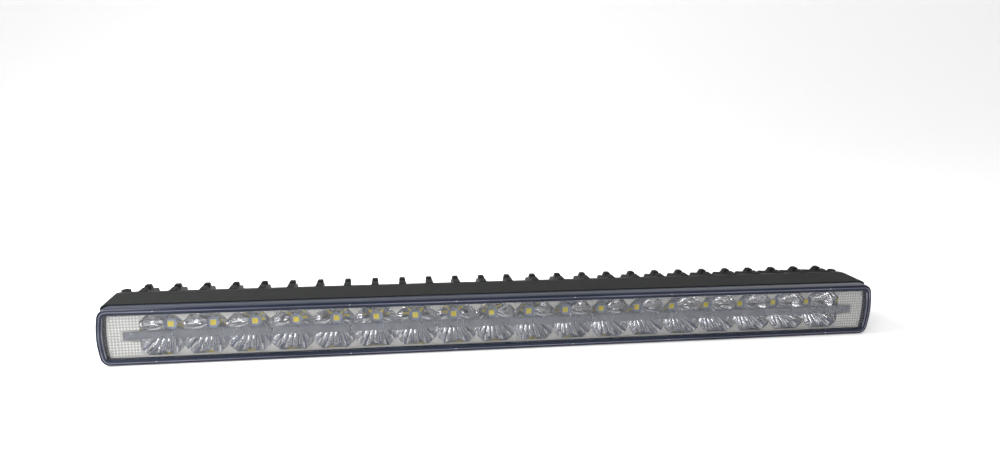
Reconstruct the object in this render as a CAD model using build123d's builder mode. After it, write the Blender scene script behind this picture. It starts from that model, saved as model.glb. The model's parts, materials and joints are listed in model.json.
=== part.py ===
from build123d import *
import math
import os

os.makedirs("parts", exist_ok=True)

# ----------------------------------------------------------------------------
# Driving dimensions, in millimetres.
# The bar lies along X, its lens faces -Y, Z is up and it stands on Z = 0.
# "Depth" is measured from the front face of the reflectors towards the rear.
# "Rise" is measured from the bar's mid plane.
# ----------------------------------------------------------------------------
led_count = 18
led_pitch = 25.0

bar_height = 35.5
bar_depth = 66.5
mid_z = bar_height / 2
half_height = bar_height / 2

lens_proud = 3.5
front_y = -bar_depth / 2
bezel_y = front_y + lens_proud
tail_depth = bar_depth - lens_proud

sides = (-1, 1)

# Cutters run past the faces they cut by the overrun; added solids start inside by the overlap.
overrun = 1.0
overlap = 0.5
slip = 0.05

# Stations along the depth.
lens_inner_depth = -1.3
frame_front_depth = 5.5
lens_skirt_depth = 4.9
led_face_depth = 18.6
phosphor_thickness = 0.15
package_thickness = 0.6
board_depth = led_face_depth + phosphor_thickness + package_thickness
board_thickness = 1.6
pad_depth = board_depth + board_thickness
pad_thickness = 0.3
floor_depth = pad_depth + pad_thickness
pocket_back_depth = 31.0
wall_back_depth = 34.0

# Front outlines: half length at mid height, half height, bow of the ends, corner radius.
housing_half_length = 248.0
housing_bow = 0.8
housing_corner = 3.0
lens_half_length = 248.2
lens_half_height = 17.35
lens_bow = 2.4
lens_corner = 5.5
lens_wall = 3.3
bezel_half_length = 243.0
bezel_half_height = 13.6
bezel_bow = 1.2
bezel_corner = 0.5


def front_plane(depth):
    """Upright plane seen from the front, at this depth, with its origin on the bar's axis."""
    return Plane(origin=(0, bezel_y + depth, mid_z), x_dir=(1, 0, 0), z_dir=(0, -1, 0))


def bowed_outline(half_length, half_rise, bow, corner):
    """Long rectangle whose short ends bow outwards, with rounded corners."""
    shoulder = half_length - bow
    with BuildSketch(mode=Mode.PRIVATE) as outline:
        with BuildLine():
            Line((-shoulder, half_rise), (shoulder, half_rise))
            ThreePointArc((shoulder, half_rise), (half_length, 0), (shoulder, -half_rise))
            Line((shoulder, -half_rise), (-shoulder, -half_rise))
            ThreePointArc((-shoulder, -half_rise), (-half_length, 0), (-shoulder, half_rise))
        make_face()
        fillet(outline.vertices(), corner)
    return outline.sketch


def mirrored_places(xs, zs):
    """Front-plane places at every listed distance from the centre, on both sides."""
    return [(side * x, z) for side in sides for x in xs for z in zs]


# ----------------------------------------------------------------------------
# Places shared by several pieces.
# ----------------------------------------------------------------------------
led_places = [((i - (led_count - 1) / 2) * led_pitch, 0) for i in range(led_count)]

screw_rise = 9.3
board_screw_xs = (3 * led_pitch, 6 * led_pitch, 231.5)
board_screw_places = mirrored_places(board_screw_xs, (-screw_rise, screw_rise))
peg_xs = (4 * led_pitch, 8 * led_pitch)
peg_places = mirrored_places(peg_xs, (-screw_rise, screw_rise))
core_xs = tuple(k * led_pitch for k in (1, 2, 3, 5, 6, 7))
core_places = mirrored_places(core_xs, (-screw_rise, screw_rise))
post_x = 49.0
post_rise = 4.6
post_places = mirrored_places((post_x,), (-post_rise, post_rise))
pin_spacing_x = 4.0
pin_spacing_z = 2.54
output_pin_places = mirrored_places((pin_spacing_x / 2,), (-pin_spacing_z / 2, pin_spacing_z / 2))

m3_shank_radius = 1.45
m3_hole_radius = 1.5
m3_clear_radius = 1.7
peg_radius = 1.5
peg_hole_radius = 1.55
peg_clear_radius = 1.8
pin_radius = 0.45
pin_hole_radius = 0.55

# ----------------------------------------------------------------------------
# Cooling fins: upright plates that thin out towards the rear.
# ----------------------------------------------------------------------------
fin_count = 27
fin_pitch = 17.92
fin_shift = 1.6
fin_xs = [fin_shift + (i - (fin_count - 1) / 2) * fin_pitch for i in range(fin_count)]
fin_root_depth = 29.0
fin_root_half = 2.6
fin_tip_half = 1.25
fin_nose_depth = 30.6
fin_nose_rise = 16.6
notch_front_depth = 38.4
notch_floor_front = 39.0
notch_floor_back = 41.2
notch_back_depth = 41.8
notch_rise = 15.5
crest_end_depth = 46.0
shelf_start_depth = 50.5
shelf_start_rise = 13.4
shelf_end_depth = 61.0
shelf_end_rise = 10.6
tail_rise = 8.6
crest_round = 2.2
notch_round = 1.2
rear_edge_round = 1.15
same_depth = 0.1
fin_edge_round = 0.8
fin_edge_rise = 8.0
fin_edge_side = 0.9

fin_side = [
    (fin_root_depth, fin_nose_rise),
    (fin_nose_depth, half_height),
    (notch_front_depth, half_height),
    (notch_floor_front, notch_rise),
    (notch_floor_back, notch_rise),
    (notch_back_depth, half_height),
    (crest_end_depth, half_height),
    (shelf_start_depth, shelf_start_rise),
    (shelf_end_depth, shelf_end_rise),
    (tail_depth, tail_rise),
]
fin_side_closed = fin_side + [(depth, -rise) for depth, rise in reversed(fin_side)]
side_plane = Plane(origin=(0, bezel_y, mid_z), x_dir=(0, 1, 0), z_dir=(1, 0, 0))

with BuildPart() as fin:
    with BuildSketch(Plane.XY):
        with BuildLine():
            Polyline(
                (-fin_root_half, bezel_y + fin_root_depth),
                (fin_root_half, bezel_y + fin_root_depth),
                (fin_tip_half, bezel_y + tail_depth),
                (-fin_tip_half, bezel_y + tail_depth),
                close=True,
            )
        make_face()
    extrude(amount=bar_height)
    with BuildSketch(side_plane) as fin_profile:
        with BuildLine():
            Polyline(*fin_side_closed, close=True)
        make_face()
        crest_end_y = bezel_y + crest_end_depth
        fillet([v for v in fin_profile.vertices() if abs(v.Y - crest_end_y) < same_depth], crest_round)
        crest_start_y = bezel_y + notch_back_depth
        fillet([v for v in fin_profile.vertices() if abs(v.Y - crest_start_y) < same_depth], notch_round)
    extrude(amount=fin_root_half, both=True, mode=Mode.INTERSECT)
    rear_uprights = fin.edges().filter_by(Axis.Z).group_by(Axis.Y)[-1]
    fillet(rear_uprights, rear_edge_round)
    fin_outer = [e for e in fin.edges() if abs(e.center().Z - mid_z) > fin_edge_rise]
    fillet([e for e in fin_outer if abs(e.center().X) > fin_edge_side], fin_edge_round)

# ----------------------------------------------------------------------------
# Cable gland and breather places on the rear wall.
# ----------------------------------------------------------------------------
gland_thread_radius = 6.0
gland_hole_radius = 6.05
gland_boss_radius = 10.0
gland_boss_depth = 37.0
gland_clearing_radius = 12.5
vent_x = fin_shift + 1.5 * fin_pitch
vent_stem_radius = 3.0
vent_hole_radius = 3.05

# ----------------------------------------------------------------------------
# Housing: die-cast trough with a solid floor, a driver pocket and rear fins.
# ----------------------------------------------------------------------------
rear_corner = 6.0
crown_rise = 16.7
crown_inset = 6.0
crown_side_inset = 1.2
crown_corner = 9.0
cavity_half_length = 237.0
cavity_half_height = 13.35
cavity_corner = 2.0
groove_inset = 1.0
groove_width = 1.9
groove_extra_rise = 0.25
groove_floor_depth = 10.0
pocket_half_length = 56.0
pocket_half_height = 8.5
pocket_corner = 2.5
post_radius = 2.4
driver_board_depth = 23.6
driver_board_thickness = 1.6
insert_radius = 5.5
insert_length = 9.0
insert_hole_radius = 3.4
insert_depth = 16.5
end_pad_radius = 8.0
end_pad_x = 247.8
corner_boss_x = 242.3
corner_boss_depth = 36.4
corner_boss_radius = 2.9
corner_boss_rise = 17.0
corner_hole_radius = 1.25
screw_hole_end_depth = 28.5
peg_hole_end_depth = 25.0

housing_outline = bowed_outline(housing_half_length, half_height, housing_bow, housing_corner)
groove_outer = bowed_outline(
    lens_half_length - groove_inset,
    lens_half_height - groove_inset + groove_extra_rise,
    lens_bow,
    lens_corner - groove_inset,
)
groove_inner = offset(groove_outer, amount=-groove_width, mode=Mode.PRIVATE)


def plan_outline(half_length, back_depth, corner):
    """Plan view of the body: square front corners, rounded rear corners."""
    front = bezel_y + frame_front_depth
    back = bezel_y + back_depth
    with BuildSketch(mode=Mode.PRIVATE) as outline:
        with BuildLine():
            Polyline(
                (-half_length, front),
                (half_length, front),
                (half_length, back),
                (-half_length, back),
                close=True,
            )
        make_face()
        fillet(outline.vertices().group_by(Axis.Y)[-1], corner)
    return outline.sketch


body_plan = plan_outline(housing_half_length, wall_back_depth, rear_corner)
crown_half_length = housing_half_length - crown_side_inset
crown_plan = plan_outline(crown_half_length, wall_back_depth - crown_inset, crown_corner)

# The envelope slopes gently down from the flat crown to the rear edge, above and below.
with BuildPart() as crown_envelope:
    with BuildSketch(Plane.XY.offset(mid_z - crown_rise)):
        add(body_plan)
    extrude(amount=2 * crown_rise)
    for direction in sides:
        with BuildSketch(Plane.XY.offset(mid_z + direction * crown_rise)):
            add(body_plan)
        with BuildSketch(Plane.XY.offset(mid_z + direction * half_height)):
            add(crown_plan)
        loft(ruled=True)

with BuildPart() as housing:
    with BuildSketch(front_plane(frame_front_depth)):
        add(housing_outline)
    extrude(amount=frame_front_depth - wall_back_depth)
    add(crown_envelope.part, mode=Mode.INTERSECT)

    # Corner bosses and fins.
    with BuildSketch(Plane.XY.offset(mid_z - corner_boss_rise)):
        with Locations(*[(side * corner_boss_x, bezel_y + corner_boss_depth) for side in sides]):
            Circle(corner_boss_radius)
    extrude(amount=2 * corner_boss_rise)
    for fin_x in fin_xs:
        with Locations((fin_x, 0, 0)):
            add(fin.part)

    # Clearing in the centre fin for the cable gland, and the gland's boss.
    with BuildSketch(front_plane(wall_back_depth)):
        Circle(gland_clearing_radius)
    extrude(amount=wall_back_depth - tail_depth - overrun, mode=Mode.SUBTRACT)
    with BuildSketch(front_plane(wall_back_depth - overlap)):
        Circle(gland_boss_radius)
    extrude(amount=wall_back_depth - overlap - gland_boss_depth)

    # Front cavity, sealing groove and driver pocket.
    with BuildSketch(front_plane(frame_front_depth)):
        RectangleRounded(2 * cavity_half_length, 2 * cavity_half_height, cavity_corner)
    extrude(amount=frame_front_depth - floor_depth, mode=Mode.SUBTRACT)
    with BuildSketch(front_plane(frame_front_depth)):
        add(groove_outer)
        add(groove_inner, mode=Mode.SUBTRACT)
    extrude(amount=frame_front_depth - groove_floor_depth, mode=Mode.SUBTRACT)
    with BuildSketch(front_plane(floor_depth)):
        RectangleRounded(2 * pocket_half_length, 2 * pocket_half_height, pocket_corner)
    extrude(amount=floor_depth - pocket_back_depth, mode=Mode.SUBTRACT)
    with BuildSketch(front_plane(driver_board_depth + driver_board_thickness)):
        with Locations(*post_places):
            Circle(post_radius)
    extrude(amount=driver_board_depth + driver_board_thickness - pocket_back_depth - overlap)

    # Holes for screws, pegs, gland and breather.
    with BuildSketch(front_plane(floor_depth)):
        with Locations(*board_screw_places):
            Circle(m3_hole_radius)
    extrude(amount=floor_depth - screw_hole_end_depth, mode=Mode.SUBTRACT)
    with BuildSketch(front_plane(floor_depth)):
        with Locations(*peg_places):
            Circle(peg_hole_radius)
    extrude(amount=floor_depth - peg_hole_end_depth, mode=Mode.SUBTRACT)
    with BuildSketch(front_plane(driver_board_depth + driver_board_thickness)):
        with Locations(*post_places):
            Circle(m3_hole_radius)
    extrude(amount=driver_board_depth + driver_board_thickness - pocket_back_depth, mode=Mode.SUBTRACT)
    with BuildSketch(front_plane(pocket_back_depth)):
        Circle(gland_hole_radius)
        with Locations((vent_x, 0)):
            Circle(vent_hole_radius)
    extrude(amount=pocket_back_depth - gland_boss_depth, mode=Mode.SUBTRACT)
    with BuildSketch(Plane.XY):
        with Locations(*[(side * corner_boss_x, bezel_y + corner_boss_depth) for side in sides]):
            Circle(corner_hole_radius)
    extrude(amount=bar_height, mode=Mode.SUBTRACT)

    # Flat pads and insert pockets on the two end faces.
    for side in sides:
        end_plane = Plane(
            origin=(side * end_pad_x, bezel_y + insert_depth, mid_z), x_dir=(0, 1, 0), z_dir=(side, 0, 0)
        )
        with BuildSketch(end_plane):
            Circle(end_pad_radius)
        extrude(amount=overrun, mode=Mode.SUBTRACT)
        with BuildSketch(end_plane):
            Circle(insert_radius)
        extrude(amount=-insert_length, mode=Mode.SUBTRACT)
housing.part.label = "housing"
export_step(housing.part, "parts/housing.step")

# ----------------------------------------------------------------------------
# Lens: clear one-piece cover with a skirt and a tongue for the sealing groove.
# ----------------------------------------------------------------------------
tongue_clearance = 0.3
tongue_end_depth = 8.6
lens_edge_round = 0.8
lens_outline = bowed_outline(lens_half_length, lens_half_height, lens_bow, lens_corner)
lens_cavity = offset(lens_outline, amount=-lens_wall, mode=Mode.PRIVATE)
tongue_outer = offset(groove_outer, amount=-tongue_clearance, mode=Mode.PRIVATE)
tongue_inner = offset(groove_inner, amount=tongue_clearance, mode=Mode.PRIVATE)

with BuildPart() as lens:
    with BuildSketch(front_plane(-lens_proud)):
        add(lens_outline)
    extrude(amount=-lens_proud - lens_skirt_depth)
    fillet(lens.faces().sort_by(Axis.Y)[0].edges(), lens_edge_round)
    with BuildSketch(front_plane(lens_inner_depth)):
        add(lens_cavity)
    extrude(amount=lens_inner_depth - lens_skirt_depth, mode=Mode.SUBTRACT)
    with BuildSketch(front_plane(lens_skirt_depth - overlap)):
        add(tongue_outer)
        add(tongue_inner, mode=Mode.SUBTRACT)
    extrude(amount=lens_skirt_depth - overlap - tongue_end_depth)
lens.part.label = "lens"
export_step(lens.part, "parts/lens.step")

# ----------------------------------------------------------------------------
# Lens seal: bead of silicone in the bottom of the groove, under the tongue.
# ----------------------------------------------------------------------------
with BuildPart() as lens_seal:
    with BuildSketch(front_plane(tongue_end_depth)):
        add(groove_outer)
        add(groove_inner, mode=Mode.SUBTRACT)
    extrude(amount=tongue_end_depth - groove_floor_depth)
lens_seal.part.label = "lens_seal"
export_step(lens_seal.part, "parts/lens_seal.step")

# ----------------------------------------------------------------------------
# Reflectors: two metallised modules, each with nine overlapping parabolic cells.
# ----------------------------------------------------------------------------
seam_gap = 0.1
bezel_thickness = 1.6
bezel_lip = 1.2
bezel_lip_depth = 4.8
reflector_half_height = 13.0
reflector_end_x = 226.6
reflector_back_depth = 19.2
cell_mouth_radius = 14.7
cell_base_radius = 4.05
cell_base_depth = 18.0
cell_half_height = 12.5
cell_end_x = 224.6
core_radius = 3.5
core_front_depth = 11.0
strip_half_length = 233.8
strip_half_height = 2.35
strip_front_depth = -1.0
strip_back_depth = 2.4
strip_clearance = 0.15
peg_end_depth = 24.6
pin_pocket_length = 8.0
pin_pocket_height = 6.0
pin_pocket_depth = 1.5

bezel_outline = bowed_outline(bezel_half_length, bezel_half_height, bezel_bow, bezel_corner)
bezel_inside = offset(bezel_outline, amount=-bezel_lip, mode=Mode.PRIVATE)

# A parabola is a quadratic Bezier curve: its middle control point is where the end tangents meet.
cell_curve_mid_radius = (cell_mouth_radius + cell_base_radius) / 2
cell_curve_slope = (cell_mouth_radius**2 - cell_base_radius**2) / cell_base_depth
cell_curve_mid_depth = 2 * cell_mouth_radius * (cell_mouth_radius - cell_curve_mid_radius) / cell_curve_slope

with BuildPart() as cell_cutter:
    with BuildSketch(Plane.XY.offset(mid_z)):
        with BuildLine():
            Polyline(
                (cell_base_radius, bezel_y + cell_base_depth),
                (cell_base_radius, bezel_y + reflector_back_depth + overrun),
                (0, bezel_y + reflector_back_depth + overrun),
                (0, bezel_y - overrun),
                (cell_mouth_radius, bezel_y - overrun),
                (cell_mouth_radius, bezel_y),
            )
            Bezier(
                (cell_mouth_radius, bezel_y),
                (cell_curve_mid_radius, bezel_y + cell_curve_mid_depth),
                (cell_base_radius, bezel_y + cell_base_depth),
            )
        make_face()
    revolve(axis=Axis((0, bezel_y, mid_z), (0, 1, 0)))
    with BuildSketch(front_plane(-overrun)):
        Rectangle(2 * cell_mouth_radius, 2 * cell_half_height)
    extrude(amount=-reflector_back_depth - 2 * overrun, mode=Mode.INTERSECT)


def make_reflector(side):
    """One reflector module, on the side of the bar given by -1 or 1."""
    middle = side * (seam_gap + bezel_half_length) / 2
    with BuildPart() as module:
        with BuildSketch(front_plane(0)):
            add(bezel_outline)
        extrude(amount=-bezel_thickness)
        with BuildSketch(front_plane(bezel_thickness - overlap)):
            add(bezel_outline)
            add(bezel_inside, mode=Mode.SUBTRACT)
        extrude(amount=bezel_thickness - overlap - bezel_lip_depth)
        with BuildSketch(front_plane(bezel_thickness - overlap)):
            Rectangle(2 * reflector_end_x, 2 * reflector_half_height)
        extrude(amount=bezel_thickness - overlap - reflector_back_depth)
        with BuildSketch(front_plane(-overrun)):
            with Locations((middle, 0)):
                Rectangle(bezel_half_length - seam_gap, bar_height)
        extrude(amount=-reflector_back_depth - 2 * overrun, mode=Mode.INTERSECT)

        # Nine cells; the outermost is cut off straight on its outer side.
        for x, z in led_places:
            if x * side > 0:
                with Locations((x, 0, 0)):
                    add(cell_cutter.part, mode=Mode.SUBTRACT)
        with BuildSketch(front_plane(0)):
            with Locations((side * (cell_end_x + reflector_end_x) / 2, 0)):
                Rectangle(reflector_end_x - cell_end_x, 2 * reflector_half_height)
        extrude(amount=-reflector_back_depth)

        # Slot for the position-light strip and hole for its leg.
        with BuildSketch(front_plane(-overrun)):
            with Locations((side * strip_half_length / 2, 0)):
                Rectangle(strip_half_length + 2 * strip_clearance, 2 * (strip_half_height + strip_clearance))
        extrude(amount=-overrun - strip_back_depth - strip_clearance, mode=Mode.SUBTRACT)

        # Cored-out back and the pocket over the driver's output pins.
        with BuildSketch(front_plane(core_front_depth)):
            with Locations(*[place for place in core_places if place[0] * side > 0]):
                Circle(core_radius)
        extrude(amount=core_front_depth - reflector_back_depth, mode=Mode.SUBTRACT)
        with BuildSketch(front_plane(reflector_back_depth - pin_pocket_depth)):
            Rectangle(pin_pocket_length, pin_pocket_height)
        extrude(amount=-pin_pocket_depth, mode=Mode.SUBTRACT)

        # Pegs that press into the housing floor.
        with BuildSketch(front_plane(reflector_back_depth - overlap)):
            with Locations(*[place for place in peg_places if place[0] * side > 0]):
                Circle(peg_radius)
        extrude(amount=reflector_back_depth - overlap - peg_end_depth)
    return module


reflector_left = make_reflector(-1)
reflector_left.part.label = "reflector_left"
export_step(reflector_left.part, "parts/reflector_left.step")
reflector_right = make_reflector(1)
reflector_right.part.label = "reflector_right"
export_step(reflector_right.part, "parts/reflector_right.step")

# ----------------------------------------------------------------------------
# Position-light guide: clear strip across all cells, with a leg at each end
# that stands over a small LED of its own.
# ----------------------------------------------------------------------------
leg_x = 231.0
leg_width = 3.0
leg_height = 3.0
leg_end_depth = 18.3
position_led_width = 3.5
position_led_height = 2.8

with BuildPart() as position_light_guide:
    with BuildSketch(front_plane(strip_front_depth)):
        Rectangle(2 * strip_half_length, 2 * strip_half_height)
    extrude(amount=strip_front_depth - strip_back_depth)
    with BuildSketch(front_plane(strip_back_depth)):
        with Locations(*mirrored_places((leg_x,), (0,))):
            Rectangle(leg_width, leg_height)
    extrude(amount=strip_back_depth - leg_end_depth)
position_light_guide.part.label = "position_light_guide"
export_step(position_light_guide.part, "parts/position_light_guide.step")

with BuildPart() as position_leds:
    with BuildSketch(front_plane(led_face_depth)):
        with Locations(*mirrored_places((leg_x,), (0,))):
            Rectangle(position_led_width, position_led_height)
    extrude(amount=led_face_depth - board_depth)
position_leds.part.label = "position_leds"
export_step(position_leds.part, "parts/position_leds.step")

# ----------------------------------------------------------------------------
# LED boards and the thermal pads under them, one pair on each side.
# ----------------------------------------------------------------------------
board_inner_x = 0.3
board_outer_x = 236.0
board_half_height = 12.6
board_corner = 1.0
pad_margin = 0.5


def make_flat(side, depth, thickness, shrink):
    """Board-shaped sheet on one side, drilled for screws, pegs and output pins."""
    length = board_outer_x - board_inner_x - 2 * shrink
    with BuildPart() as sheet:
        with BuildSketch(front_plane(depth)):
            with Locations((side * (board_inner_x + board_outer_x) / 2, 0)):
                RectangleRounded(length, 2 * (board_half_height - shrink), board_corner)
            with Locations(*board_screw_places):
                Circle(m3_clear_radius, mode=Mode.SUBTRACT)
            with Locations(*peg_places):
                Circle(peg_clear_radius, mode=Mode.SUBTRACT)
            with Locations(*output_pin_places):
                Circle(pin_hole_radius, mode=Mode.SUBTRACT)
        extrude(amount=-thickness)
    return sheet


for side, hand in zip(sides, ("left", "right")):
    led_board = make_flat(side, board_depth, board_thickness, 0)
    led_board.part.label = f"led_board_{hand}"
    export_step(led_board.part, f"parts/led_board_{hand}.step")
    thermal_pad = make_flat(side, pad_depth, pad_thickness, pad_margin)
    thermal_pad.part.label = f"thermal_pad_{hand}"
    export_step(thermal_pad.part, f"parts/thermal_pad_{hand}.step")

# ----------------------------------------------------------------------------
# Main LEDs: ceramic package with a yellow phosphor tile on top.
# ----------------------------------------------------------------------------
package_width = 3.8
package_corner = 0.2
phosphor_width = 3.5
package_front_depth = led_face_depth + phosphor_thickness

for i, place in enumerate(led_places):
    with BuildPart() as led:
        with BuildSketch(front_plane(package_front_depth)):
            with Locations(place):
                RectangleRounded(package_width, package_width, package_corner)
        extrude(amount=-package_thickness)
    led.part.label = f"led_{i + 1:02d}"
    export_step(led.part, f"parts/led_{i + 1:02d}.step")

with BuildPart() as led_phosphors:
    with BuildSketch(front_plane(led_face_depth)):
        with Locations(*led_places):
            Rectangle(phosphor_width, phosphor_width)
    extrude(amount=-phosphor_thickness)
led_phosphors.part.label = "led_phosphors"
export_step(led_phosphors.part, "parts/led_phosphors.step")

# ----------------------------------------------------------------------------
# Board screws: M3 pan heads that clamp the LED boards to the housing floor.
# ----------------------------------------------------------------------------
screw_head_radius = 2.75
screw_head_height = 1.9
socket_radius = 1.0
socket_depth = 1.2
board_screw_end_depth = 27.5


def make_screws(places, seat_depth, end_depth):
    """Pan-head screws whose heads sit on seat_depth, as one group of solids."""
    top_depth = seat_depth - screw_head_height
    with BuildPart() as screws:
        with BuildSketch(front_plane(top_depth)):
            with Locations(*places):
                Circle(screw_head_radius)
        extrude(amount=-screw_head_height)
        with BuildSketch(front_plane(seat_depth)):
            with Locations(*places):
                Circle(m3_shank_radius)
        extrude(amount=seat_depth - end_depth)
        with BuildSketch(front_plane(top_depth)):
            with Locations(*places):
                RegularPolygon(socket_radius, 6)
        extrude(amount=-socket_depth, mode=Mode.SUBTRACT)
    return screws


board_screws = make_screws(board_screw_places, board_depth, board_screw_end_depth)
board_screws.part.label = "board_screws"
export_step(board_screws.part, "parts/board_screws.step")

# ----------------------------------------------------------------------------
# Driver board in its pocket, with its parts on the rear side.
# ----------------------------------------------------------------------------
driver_half_length = 54.0
driver_half_height = 7.8
driver_back_depth = driver_board_depth + driver_board_thickness
insulator_thickness = 0.25
inductor_x = 36.0
inductor_width = 10.0
inductor_height = 4.5
inductor_corner = 1.5
inductor_chamfer = 0.6
capacitor_radius = 3.1
capacitor_height = 4.8
input_capacitor = (-25.5, 3.6)
output_capacitor = (15.5, 4.4)
controller_x = -17.0
controller_length = 6.0
controller_width = 5.0
small_chip_place = (-11.5, 4.6)
small_chip_width = 3.0
chip_height = 1.2
switch_place = (27.0, 4.0)
switch_length = 5.0
switch_width = 6.0
switch_height = 2.2
terminal_x = 8.2
terminal_length = 5.5
terminal_width = 7.5
terminal_height = 4.4
terminal_way_rise = 1.8
terminal_way_radius = 1.1
terminal_way_depth = 4.0
terminal_way_height = 2.4

with BuildPart() as driver_insulator:
    with BuildSketch(front_plane(floor_depth)):
        Rectangle(2 * driver_half_length, 2 * driver_half_height)
        with Locations(*output_pin_places):
            Circle(pin_hole_radius, mode=Mode.SUBTRACT)
    extrude(amount=-insulator_thickness)
driver_insulator.part.label = "driver_insulator"
export_step(driver_insulator.part, "parts/driver_insulator.step")

with BuildPart() as driver_board:
    with BuildSketch(front_plane(driver_board_depth)):
        RectangleRounded(2 * driver_half_length, 2 * driver_half_height, board_corner)
        with Locations(*post_places):
            Circle(m3_clear_radius, mode=Mode.SUBTRACT)
        with Locations(*output_pin_places):
            Circle(pin_hole_radius, mode=Mode.SUBTRACT)
    extrude(amount=-driver_board_thickness)
driver_board.part.label = "driver_board"
export_step(driver_board.part, "parts/driver_board.step")



def above_and_below(place):
    """The place and its mirror image across the mid plane."""
    return [(place[0], direction * place[1]) for direction in sides]


driver_screw_end_depth = 29.0
driver_screws = make_screws(post_places, driver_board_depth, driver_screw_end_depth)
driver_screws.part.label = "driver_screws"
export_step(driver_screws.part, "parts/driver_screws.step")

with BuildPart() as driver_inductors:
    with BuildSketch(front_plane(driver_back_depth)):
        with Locations(*mirrored_places((inductor_x,), (0,))):
            RectangleRounded(inductor_width, inductor_width, inductor_corner)
    extrude(amount=-inductor_height)
    chamfer(driver_inductors.faces().sort_by(Axis.Y)[-1].edges(), inductor_chamfer)
driver_inductors.part.label = "driver_inductors"
export_step(driver_inductors.part, "parts/driver_inductors.step")

with BuildPart() as driver_capacitors:
    with BuildSketch(front_plane(driver_back_depth)):
        with Locations(*above_and_below(input_capacitor), *above_and_below(output_capacitor)):
            Circle(capacitor_radius)
    extrude(amount=-capacitor_height)
driver_capacitors.part.label = "driver_capacitors"
export_step(driver_capacitors.part, "parts/driver_capacitors.step")

with BuildPart() as driver_chips:
    with BuildSketch(front_plane(driver_back_depth)):
        with Locations((controller_x, 0)):
            Rectangle(controller_length, controller_width)
        with Locations(*above_and_below(small_chip_place)):
            Rectangle(small_chip_width, small_chip_width)
    extrude(amount=-chip_height)
driver_chips.part.label = "driver_chips"
export_step(driver_chips.part, "parts/driver_chips.step")

with BuildPart() as driver_switches:
    with BuildSketch(front_plane(driver_back_depth)):
        with Locations(*above_and_below(switch_place)):
            Rectangle(switch_length, switch_width)
    extrude(amount=-switch_height)
driver_switches.part.label = "driver_switches"
export_step(driver_switches.part, "parts/driver_switches.step")

terminal_face_x = terminal_x - terminal_length / 2
terminal_way_y = bezel_y + driver_back_depth + terminal_way_height
terminal_face = Plane(origin=(terminal_face_x, terminal_way_y, mid_z), x_dir=(0, 1, 0), z_dir=(-1, 0, 0))

with BuildPart() as input_terminal:
    with BuildSketch(front_plane(driver_back_depth)):
        with Locations((terminal_x, 0)):
            Rectangle(terminal_length, terminal_width)
    extrude(amount=-terminal_height)
    with BuildSketch(terminal_face):
        with Locations((0, -terminal_way_rise), (0, terminal_way_rise)):
            Circle(terminal_way_radius)
    extrude(amount=-terminal_way_depth, mode=Mode.SUBTRACT)
input_terminal.part.label = "input_terminal"
export_step(input_terminal.part, "parts/input_terminal.step")

# ----------------------------------------------------------------------------
# Output header: four pins that carry the current from the driver to the LED boards.
# ----------------------------------------------------------------------------
header_front_depth = floor_depth + insulator_thickness
header_length = 7.0
header_width = 5.0
pin_front_stub = 0.6
pin_back_stub = 0.9
pin_front_depth = board_depth - pin_front_stub
pin_back_depth = driver_back_depth + pin_back_stub

with BuildPart() as output_header:
    with BuildSketch(front_plane(header_front_depth)):
        Rectangle(header_length, header_width)
        with Locations(*output_pin_places):
            Circle(pin_hole_radius, mode=Mode.SUBTRACT)
    extrude(amount=header_front_depth - driver_board_depth)
output_header.part.label = "output_header"
export_step(output_header.part, "parts/output_header.step")

with BuildPart() as output_pins:
    with BuildSketch(front_plane(pin_front_depth)):
        with Locations(*output_pin_places):
            Circle(pin_radius)
    extrude(amount=pin_front_depth - pin_back_depth)
output_pins.part.label = "output_pins"
export_step(output_pins.part, "parts/output_pins.step")

# ----------------------------------------------------------------------------
# Cable gland on the rear wall: body, o-ring, sealing bush and dome nut.
# ----------------------------------------------------------------------------
gland_inner_end_depth = 30.2
gland_ring_thickness = 1.0
gland_flange_depth = gland_boss_depth + gland_ring_thickness
gland_flange_thickness = 4.0
gland_flange_back = gland_flange_depth + gland_flange_thickness
gland_neck_end_depth = 49.0
gland_nut_gap = 0.5
gland_nut_front_depth = gland_flange_back + gland_nut_gap
gland_nut_end_depth = 52.5
gland_hex_radius = 9.2
gland_bore_radius = 3.6
gland_socket_radius = 4.6
gland_bush_front_depth = 43.0
gland_bush_bore_radius = 2.75
gland_nut_bore_radius = 3.4
gland_dome = 2.0
gland_dome_round = 1.7
gland_ring_margin = 1.8
gland_bush_proud = 1.0

with BuildPart() as cable_gland_body:
    with BuildSketch(front_plane(gland_inner_end_depth)):
        Circle(gland_thread_radius)
    extrude(amount=gland_inner_end_depth - gland_neck_end_depth)
    with BuildSketch(front_plane(gland_flange_depth)):
        RegularPolygon(gland_hex_radius, 6)
    extrude(amount=gland_flange_depth - gland_flange_back)
    with BuildSketch(front_plane(gland_inner_end_depth)):
        Circle(gland_bore_radius)
    extrude(amount=gland_inner_end_depth - gland_neck_end_depth, mode=Mode.SUBTRACT)
    with BuildSketch(front_plane(gland_bush_front_depth)):
        Circle(gland_socket_radius)
    extrude(amount=gland_bush_front_depth - gland_neck_end_depth, mode=Mode.SUBTRACT)
cable_gland_body.part.label = "cable_gland_body"
export_step(cable_gland_body.part, "parts/cable_gland_body.step")

with BuildPart() as gland_o_ring:
    with BuildSketch(front_plane(gland_boss_depth)):
        Circle(gland_boss_radius - gland_ring_margin)
        Circle(gland_thread_radius + slip, mode=Mode.SUBTRACT)
    extrude(amount=-gland_ring_thickness)
gland_o_ring.part.label = "gland_o_ring"
export_step(gland_o_ring.part, "parts/gland_o_ring.step")

with BuildPart() as gland_bush:
    with BuildSketch(front_plane(gland_bush_front_depth)):
        Circle(gland_socket_radius - slip)
        Circle(gland_bush_bore_radius, mode=Mode.SUBTRACT)
    extrude(amount=gland_bush_front_depth - gland_neck_end_depth - gland_bush_proud)
gland_bush.part.label = "gland_bush"
export_step(gland_bush.part, "parts/gland_bush.step")

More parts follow.
